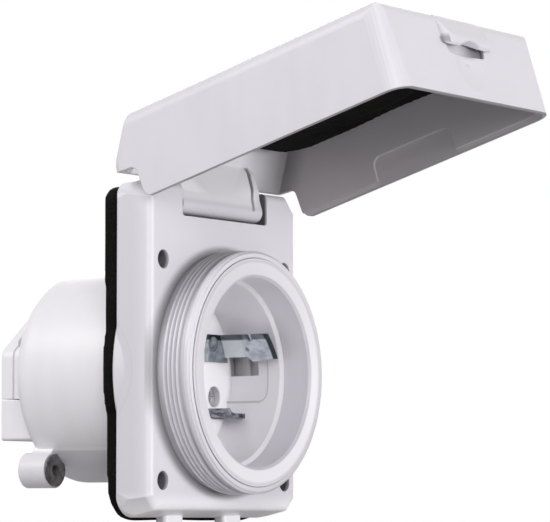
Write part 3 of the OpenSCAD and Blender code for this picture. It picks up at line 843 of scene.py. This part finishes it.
# marks on the ground tongue: painted shade in a band under its top edge, along the tip and at its foot, a dimple
# with painted shade in it, and a stretch of painted light behind its bend, which turns towards the front
tongue = {
    "minX": 12 * mm,
    "lowZ": 3.6 * mm,
    "fade": 1.0 * mm,
    "bandZ": 11.3 * mm,
    "bandFade": 0.6 * mm,
    "bandShare": 0.75,
    "tipY": -20.1 * mm,
    "tipZ": 5.4 * mm,
    "tipSlope": 0.215,
    "tipW": 1.3 * mm,
    "tipCore": 0.5,
    "footY": -1.2 * mm,
    "footFade": 0.6 * mm,
    "footShare": 0.35,
    "dimpleY": -9.8 * mm,
    "dimpleZ": 8.6 * mm,
    "dimpleR": 0.95 * mm,
    "dimpleCore": 0.3,
    "dimpleShare": 0.6,
    "dimpleHeight": 40.0,
    "dark": (0.035, 0.042, 0.055, 1),
    "bendY": -9.2 * mm,
    "bendFade": 1.5 * mm,
    "bend": 1.1,
    "brightEndY": -0.85 * mm,
    "brightEndFade": 0.1 * mm,
    "brightShare": 0.88,
    "brightPlain": 0.7,
    "paintedLight": (0.90, 0.95, 1.0, 1),
}


def tongueLightAndShade(paint, x, y, z):
    # how much painted shade each spot of the tongue gets, its dimple, how much painted light, and its bend towards
    # the front
    onTongue = x.past(tongue["minX"], tongue["fade"]) * z.past(tongue["lowZ"], tongue["fade"])
    band = z.past(tongue["bandZ"], tongue["bandFade"])
    foot = y.past(tongue["footY"], tongue["footFade"])
    fromTip = y - tongue["tipY"] - (z - tongue["tipZ"]) * tongue["tipSlope"]
    tip = fromTip.line(tongue["tipW"], tongue["tipCore"])
    fromDimple = fromAxis(y - tongue["dimpleY"], z - tongue["dimpleZ"])
    dimple = fromDimple.line(tongue["dimpleR"], tongue["dimpleCore"])
    dark = paint.maths("MINIMUM", band * tongue["bandShare"] + foot * tongue["footShare"] + tip + (
        dimple * tongue["dimpleShare"]), 1.0)
    paintedLight = y.ramp(tongue["bendY"] - tongue["bendFade"], tongue["bendY"] + tongue["bendFade"]) * y.upTo(
        tongue["brightEndY"], tongue["brightEndFade"]) * (1 - band)
    bend = paint.maths("MAXIMUM", y, tongue["bendY"]) * (tongue["bend"] / metalLook["streakHeight"])
    return onTongue * dark, onTongue * dimple, onTongue * paintedLight, onTongue * bend


def metalFinish(name):
    look = metals[name]
    paint = startPaint(name)
    spot, x, y, z = spotParts(paint)
    streak = noise(paint, spot, look["streakScale"], metalLook["streakDetail"], look["stretch"])
    cloud = noise(paint, spot, metalLook["cloudScale"])
    mixed = streak * metalLook["streakShare"] + cloud * (1 - metalLook["streakShare"])
    colour = mixed.ramp(*metalLook["toneSpan"]).tint(look["streak"], look["tone"])
    onEdges = edgeMask(paint, metalLook["edgeR"]) * metalLook["edgeShare"]
    colour = onEdges.tint(colour, look["edge"])
    roughness = look["roughness"] + (streak - 0.5) * metalLook["streakGloss"]
    height, metallic = streak, look["metallic"]
    if name == "contactMetal":
        # painted light and painted shade on the ground tongue
        dark, dimple, paintedLight, bend = tongueLightAndShade(paint, x, y, z)
        colour = (paintedLight * tongue["brightShare"]).tint(colour, tongue["paintedLight"])
        colour = dark.tint(colour, tongue["dark"])
        height = streak - dimple * tongue["dimpleHeight"] + bend
        metallic = look["metallic"] - paintedLight * tongue["brightPlain"]
    finishPaint(paint, colour, roughness, height, metalLook["streakHeight"], metalLook["edgeR"],
                metallic)


plasticFinish("housingPlastic", [
    holeShade, threadShade, plateShading, flatOutlineShade, pocketShade, windowShade, faceLightAndShade, bottomLight,
], faceRelief)
plasticFinish("lidPlastic", [lidLightAndShade, grooveShade, pullShade])
plasticFinish("carrierPlastic", [floorLight, windowShade, recessLine])
plasticFinish("enclosurePlastic", [windowShade, creaseShade])
plasticFinish("retainerPlastic")
foamFinish("gasketFoam")
foamFinish("padFoam")
for metal in metals:
    metalFinish(metal)

nodesOf = {
    "housingPlastic": ["front_housing"],
    "lidPlastic": ["lid"],
    "carrierPlastic": ["contact_carrier"],
    "enclosurePlastic": ["rear_enclosure", "cable_clamp"],
    "retainerPlastic": ["contact_retainer"],
    "gasketFoam": ["panel_gasket"],
    "padFoam": ["lid_pad"],
    "contactMetal": ["ground_contact"],
    "bladeMetal": ["line_blade_1", "line_blade_2", "line_blade_3"],
    "rivetMetal": ["ground_rivet"],
    "sleeveShadeMetal": ["lug_sleeves"],
    "screwSteel": ["carrier_screws", "terminal_screw_1", "terminal_screw_2", "terminal_screw_3",
                   "clamp_screws", "hinge_pin"],
    "terminalBrass": ["terminal_clamp_1", "terminal_clamp_2", "terminal_clamp_3", "ground_terminal"],
    "groundGreen": ["ground_screw"],
}


def wear(piece, finish):
    piece.data.materials.clear()
    piece.data.materials.append(bpy.data.materials[finish])


for finish, names in nodesOf.items():
    for name in names:
        wear(nodes[name], finish)
print("finishes on", sum(map(len, nodesOf.values())), "nodes")


def gridPiece(name, points, finish, body):
    # points is an array (rows, columns, 3); neighbouring rows and columns are joined by quads
    rows, columns = points.shape[:2]
    index = np.arange(rows * columns).reshape(rows, columns)
    quads = np.stack([index[:-1, :-1], index[:-1, 1:], index[1:, 1:], index[1:, :-1]], -1).reshape(-1, 4)
    mesh = bpy.data.meshes.new(name)
    mesh.vertices.add(rows * columns)
    mesh.vertices.foreach_set("co", points.astype(np.float32).ravel())
    mesh.loops.add(quads.size)
    mesh.loops.foreach_set("vertex_index", quads.ravel().astype(np.int32))
    mesh.polygons.add(len(quads))
    mesh.polygons.foreach_set("loop_start", np.arange(0, quads.size, 4, dtype=np.int32))
    mesh.update(calc_edges=True)
    mesh.validate()
    mesh.shade_smooth()
    piece = bpy.data.objects.new(name, mesh)
    scene.collection.objects.link(piece)
    wear(piece, finish)
    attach(piece, body)


def easeStep(value):
    value = np.clip(value, 0, 1)
    return value * value * (3 - 2 * value)


# thread of the collar, from the faceplate up to the plain band; the ridge's half profile goes from the
# middle of its crest to its foot, as shares of its half width and of its height
thread = {
    "rootR": 36.8 * mm,
    "crestR": 38.0 * mm,
    "start": -19.0 * mm,
    "pitch": 1.6 * mm,
    "turns": 4.5,
    "footW": 1.50 * mm,
    "halfProfile": [(0.0, 1.0), (0.2, 1.0), (0.42, 0.95), (0.55, 0.80), (0.86, 0.06), (1.0, 0.0)],
    "fade": 0.35,
    "stepsPerTurn": 220,
}


def collarThread():
    # a rounded trapezoid carried along a helix: the angle a goes round the collar, across goes over the
    # ridge, and the ridge sinks into the root over the last part of a turn at each end
    a = np.linspace(0, 2 * math.pi * thread["turns"], int(thread["turns"] * thread["stepsPerTurn"]))
    half = np.array(thread["halfProfile"])
    profile = np.concatenate([half[:0:-1] * (-1, 1), half])
    across, rise = profile[:, 0] * thread["footW"] / 2, profile[:, 1]
    turned = a / (2 * math.pi)
    ease = easeStep(np.minimum(turned, thread["turns"] - turned) / thread["fade"])
    radius = thread["rootR"] + (thread["crestR"] - thread["rootR"]) * ease[:, None] * rise
    along = thread["start"] - thread["pitch"] * turned[:, None] + across
    points = np.stack([radius * np.cos(a)[:, None], along, radius * np.sin(a)[:, None]], -1)
    gridPiece("collarThread", points[:, ::-1], "housingPlastic", "inlet")


collarThread()
print("collar thread cut")


# moulded web of the lid, from the knuckle up to the hinge wall, with a rib at its right end
hingeWeb = {
    "halfX": 22.0 * mm,
    "lowZ": 53.03 * mm,
    "highZ": 67.2 * mm,
    "frontY": -16.0 * mm,
    "frontSlope": 0.30,
    "browY": -15.05 * mm,
    "browZ": 56.2 * mm,
    "browSlope": 0.46,
    "blend": 0.35 * mm,
    "ribY": -15.94 * mm,
    "ribSlope": 0.3915,
    "ribRise": 1.2 * mm,
    "riseFrom": 0.1,
    "riseRun": 0.4,
    "riseEnd": 0.2,
    "facetLow": 1.0 * mm,
    "facetHigh": 19.6 * mm,
    "facetMin": 1.0 * mm,
    "facetShare": 0.8,
    "grooveLow": 17.2 * mm,
    "grooveHigh": 20.3 * mm,
    "grooveHalf": 0.55 * mm,
    "grooveCore": 0.4,
    "leftLow": 2.0 * mm,
    "leftHigh": 12.0 * mm,
    "leftRun": 9.0 * mm,
    "endDepth": 1.6 * mm,
    "columns": 260,
    "rows": 70,
}


def softLarger(first, second, blend):
    # the larger of two values, rounded where they cross
    return (first + second + np.sqrt((first - second) ** 2 + blend ** 2)) / 2


def webPiece():
    # across x, a point lies between two profiles over z. The base profile runs up the knuckle's tangent,
    # then a slope behind its brow, as far as the hinge wall, rounded where they meet. The rib profile
    # stands proud of it. A facet rises towards the rib at the right, a groove parts the two, and the left
    # end swells evenly
    look = hingeWeb
    z = np.linspace(look["lowZ"], look["highZ"], look["rows"])
    x = np.linspace(-look["halfX"], look["halfX"], look["columns"])[:, None]
    t = (z - look["lowZ"]) / (look["highZ"] - look["lowZ"])
    front = look["frontY"] + look["frontSlope"] * (z - look["lowZ"])
    slope = look["browY"] + look["browSlope"] * (z - look["browZ"])
    wall = hingeWall["y"] + hingeWall["slope"] * (z - hingeWall["z"])
    base = -softLarger(-softLarger(front, slope, look["blend"]), -wall, look["blend"])
    proud = look["ribRise"] * easeStep((t - look["riseFrom"]) / look["riseRun"]) * easeStep(
        (1 - t) / look["riseEnd"])
    rib = np.minimum(look["ribY"] + look["ribSlope"] * (z - look["lowZ"]) - proud, base)
    facetFoot = look["facetLow"] + (look["facetHigh"] - look["facetLow"]) * t
    groove = look["grooveLow"] + (look["grooveHigh"] - look["grooveLow"]) * t
    upFacet = np.clip((x - facetFoot) / np.maximum(groove - facetFoot, look["facetMin"]), 0, 1)
    facet = look["facetShare"] * upFacet * (x < groove)
    onRib = easeStep((x - groove) / look["grooveHalf"])
    inGroove = 1 - easeStep(abs(x - groove) / look["grooveHalf"] - look["grooveCore"])
    leftFoot = look["leftLow"] + (look["leftHigh"] - look["leftLow"]) * t
    onLeft = easeStep((-x - leftFoot) / look["leftRun"])
    share = np.maximum(facet, onRib) * (1 - inGroove) + onLeft
    y = base + share * (rib - base)
    points = np.stack(np.broadcast_arrays(x, y, z), -1)
    behind = points[[0, -1]] + np.array([0.0, look["endDepth"], 0.0])
    points = np.concatenate([behind[:1], points, behind[1:]])
    gridPiece("hingeWeb", points[:, ::-1], "lidPlastic", "lid")


webPiece()
print("hinge web moulded")


# how a copy of a CAD solid is made soft: doubles merged, then remeshed and relaxed
softening = {"merge": 0.001 * mm, "relax": 0.5}


def softCopy(name, node, voxel, rounds):
    mesh = nodes[node].data.copy()
    mesh.name = name
    work = bmesh.new()
    work.from_mesh(mesh)
    bmesh.ops.remove_doubles(work, verts=work.verts, dist=softening["merge"])
    work.to_mesh(mesh)
    work.free()
    piece = bpy.data.objects.new(name, mesh)
    scene.collection.objects.link(piece)
    remesh = piece.modifiers.new("even", "REMESH")
    remesh.mode = "VOXEL"
    remesh.voxel_size = voxel
    relax = piece.modifiers.new("relax", "SMOOTH")
    relax.factor = softening["relax"]
    relax.iterations = rounds
    done = bpy.data.meshes.new_from_object(piece.evaluated_get(bpy.context.evaluated_depsgraph_get()))
    piece.modifiers.clear()
    piece.data = done
    done.name = name
    done.shade_smooth()
    return piece


def readPoints(piece):
    flat = np.empty(len(piece.data.vertices) * 3, np.float32)
    piece.data.vertices.foreach_get("co", flat)
    return flat.reshape(-1, 3).astype(float)


def writePoints(piece, points):
    piece.data.vertices.foreach_set("co", points.astype(np.float32).ravel())
    piece.data.update()


# foam seal squeezed between the faceplate and the wall; each wave has its count round the edge, its
# phase and its share
gasket = {
    "voxel": 0.7 * mm,
    "rounds": 8,
    "thickness": 4.8 * mm,
    "swell": 0.35 * mm,
    "edgeR": 40.5 * mm,
    "edgeRun": 2.5 * mm,
    "waveDepth": 0.18 * mm,
    "waves": [(5, 0.7, 0.6), (9, 2.1, 0.4)],
    "waveLevel": 0.6,
}


def gasketFoam():
    # each point moves along its direction from the socket axis: outwards in the middle of the
    # thickness, where the squeezed foam swells, and by a slow wave round the edge
    piece = softCopy("gasketSeal", "panel_gasket", gasket["voxel"], gasket["rounds"])
    p = readPoints(piece)
    turn = np.arctan2(p[:, 2], p[:, 0])
    reach = np.hypot(p[:, 0], p[:, 2])
    level = np.clip(-p[:, 1] / gasket["thickness"], 0, 1)
    outer = np.clip((reach - gasket["edgeR"]) / gasket["edgeRun"], 0, 1)
    wave = sum(share * np.sin(count * turn + phase) for count, phase, share in gasket["waves"])
    bulge = gasket["swell"] * 4 * level * (1 - level)
    push = (bulge + gasket["waveDepth"] * (wave - gasket["waveLevel"])) * outer
    p[:, 0] += push * np.cos(turn)
    p[:, 2] += push * np.sin(turn)
    writePoints(piece, p)
    wear(piece, "gasketFoam")
    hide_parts("panel_gasket")
    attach(piece, "inlet")


# foam pad under the ceiling of the lid, marked by the collar it closes on
pad = {
    "voxel": 0.9 * mm,
    "rounds": 4,
    "backY": -36.56 * mm,
    "faceY": -29.9 * mm,
    "markR": 33.5 * mm,
    "markW": 4.5 * mm,
    "markDepth": 0.5 * mm,
    "waveDepth": 0.15 * mm,
    "waveX": 9.0 * mm,
    "waveZ": 11.0 * mm,
    "wavePhase": 0.4,
}


def turnAboutHinge(points, angle):
    y, z = points[:, 1] - hinge["y"], points[:, 2] - hinge["z"]
    c, s = math.cos(angle), math.sin(angle)
    return np.stack([points[:, 0], hinge["y"] + y * c - z * s, hinge["z"] + y * s + z * c], -1)


def padFoam():
    # in the closed lid's place, the face sinks towards the ceiling in a ring where the collar
    # presses on it, and by a slow wave over the rest
    piece = softCopy("lidPadFoam", "lid_pad", pad["voxel"], pad["rounds"])
    p = turnAboutHinge(readPoints(piece), hinge["closing"])
    share = np.clip((p[:, 1] - pad["backY"]) / (pad["faceY"] - pad["backY"]), 0, 1)
    fromMark = (np.hypot(p[:, 0], p[:, 2]) - pad["markR"]) / pad["markW"]
    mark = pad["markDepth"] * np.exp(-fromMark ** 4)
    wave = np.sin(p[:, 0] / pad["waveX"] + pad["wavePhase"]) * np.sin(p[:, 2] / pad["waveZ"]) * 0.5 + 0.5
    p[:, 1] -= (mark + pad["waveDepth"] * wave) * share ** 2
    writePoints(piece, turnAboutHinge(p, -hinge["closing"]))
    wear(piece, "padFoam")
    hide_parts("lid_pad")
    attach(piece, "lid")


gasketFoam()
padFoam()
print("foam seal and pad made")
